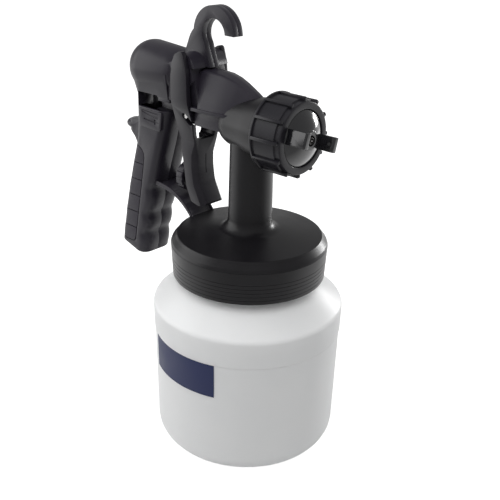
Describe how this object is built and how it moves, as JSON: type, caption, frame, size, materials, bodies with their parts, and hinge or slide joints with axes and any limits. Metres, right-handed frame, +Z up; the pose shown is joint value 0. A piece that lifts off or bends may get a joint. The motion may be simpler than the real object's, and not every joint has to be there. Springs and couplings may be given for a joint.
{
  "type": "hvlp spray gun",
  "caption": "Hand-held HVLP paint spray gun with a screw-on translucent cup, dark moulded body, long two-armed trigger, ring nut with air cap, and a hanging hook.",
  "frame": {"origin": "middle of the cup's flat base, on the surface that the gun stands on", "axes": "+Z up, +X the way the gun sprays, so the grip is at -X and +Y is the gun's left side"},
  "size_m": [0.1571, 0.1098, 0.2483],
  "materials": {
    "body": "fine satin texture",
    "trigger": "satin",
    "strap": "soft matt",
    "cap": "gloss",
    "cup": "translucent satin",
    "tube": "translucent",
    "steel": "bright",
    "brass": "machined",
    "seal": "matt"
  },
  "bodies": {
    "gun": {"housing_right": "body", "housing_left": "body", "front_cowl": "body", "chassis_rail": "body", "grip_shell_right": "body", "grip_shell_left": "body", "grip_backstrap": "strap", "hose_socket": "body", "paint_head": "body", "packing_nut": "brass", "needle_packing": "seal", "guard_brace": "body", "fluid_nozzle": "steel", "cap_seal": "seal", "cup_gasket": "seal", "dip_tube": "tube", "check_valve": "seal", "pivot_pin": "steel", "needle_spring": "steel"},
    "trigger": {"trigger": "trigger"},
    "flow_adjuster": {"flow_screw": "steel", "flow_knob": "body"},
    "needle_drive": {"needle": "steel", "needle_carriage": "body", "cross_pin": "steel"},
    "air_cap": {"air_cap": "cap"},
    "ring_nut": {"ring_nut": "body"},
    "cup": {"cup": "cup"}
  },
  "joints": [
    {"name": "trigger_pull", "type": "hinge", "parent": "gun", "child": "trigger", "pos_m": [-0.04, 0, 0.214], "axis": [0, 1, 0], "range_deg": [0, 8.5], "stiffness_Nm_per_rad": 0.6, "springref_deg": -20.05},
    {"name": "needle_slide", "type": "slide", "parent": "gun", "child": "needle_drive", "axis": [-1, 0, 0], "range_m": [0, 0.0037], "deforming": ["needle_spring"]},
    {"name": "flow_adjust", "type": "hinge", "parent": "trigger", "child": "flow_adjuster", "pos_m": [-0.049, 0, 0.1496], "axis": [1, 0, 0], "continuous": true},
    {"name": "air_cap_turn", "type": "hinge", "parent": "gun", "child": "air_cap", "pos_m": [0.03, 0, 0.1895], "axis": [1, 0, 0], "range_deg": [-90, 90]},
    {"name": "ring_nut_turn", "type": "hinge", "parent": "gun", "child": "ring_nut", "pos_m": [0.025, 0, 0.1895], "axis": [1, 0, 0], "continuous": true},
    {"name": "cup_turn", "type": "hinge", "parent": "gun", "child": "cup", "pos_m": [0, 0, 0.11], "axis": [0, 0, -1], "range_deg": [0, 360]}
  ],
  "couplings": [
    {"joint": "needle_slide", "follows": "trigger_pull", "m_per_rad": 0.0245}
  ]
}
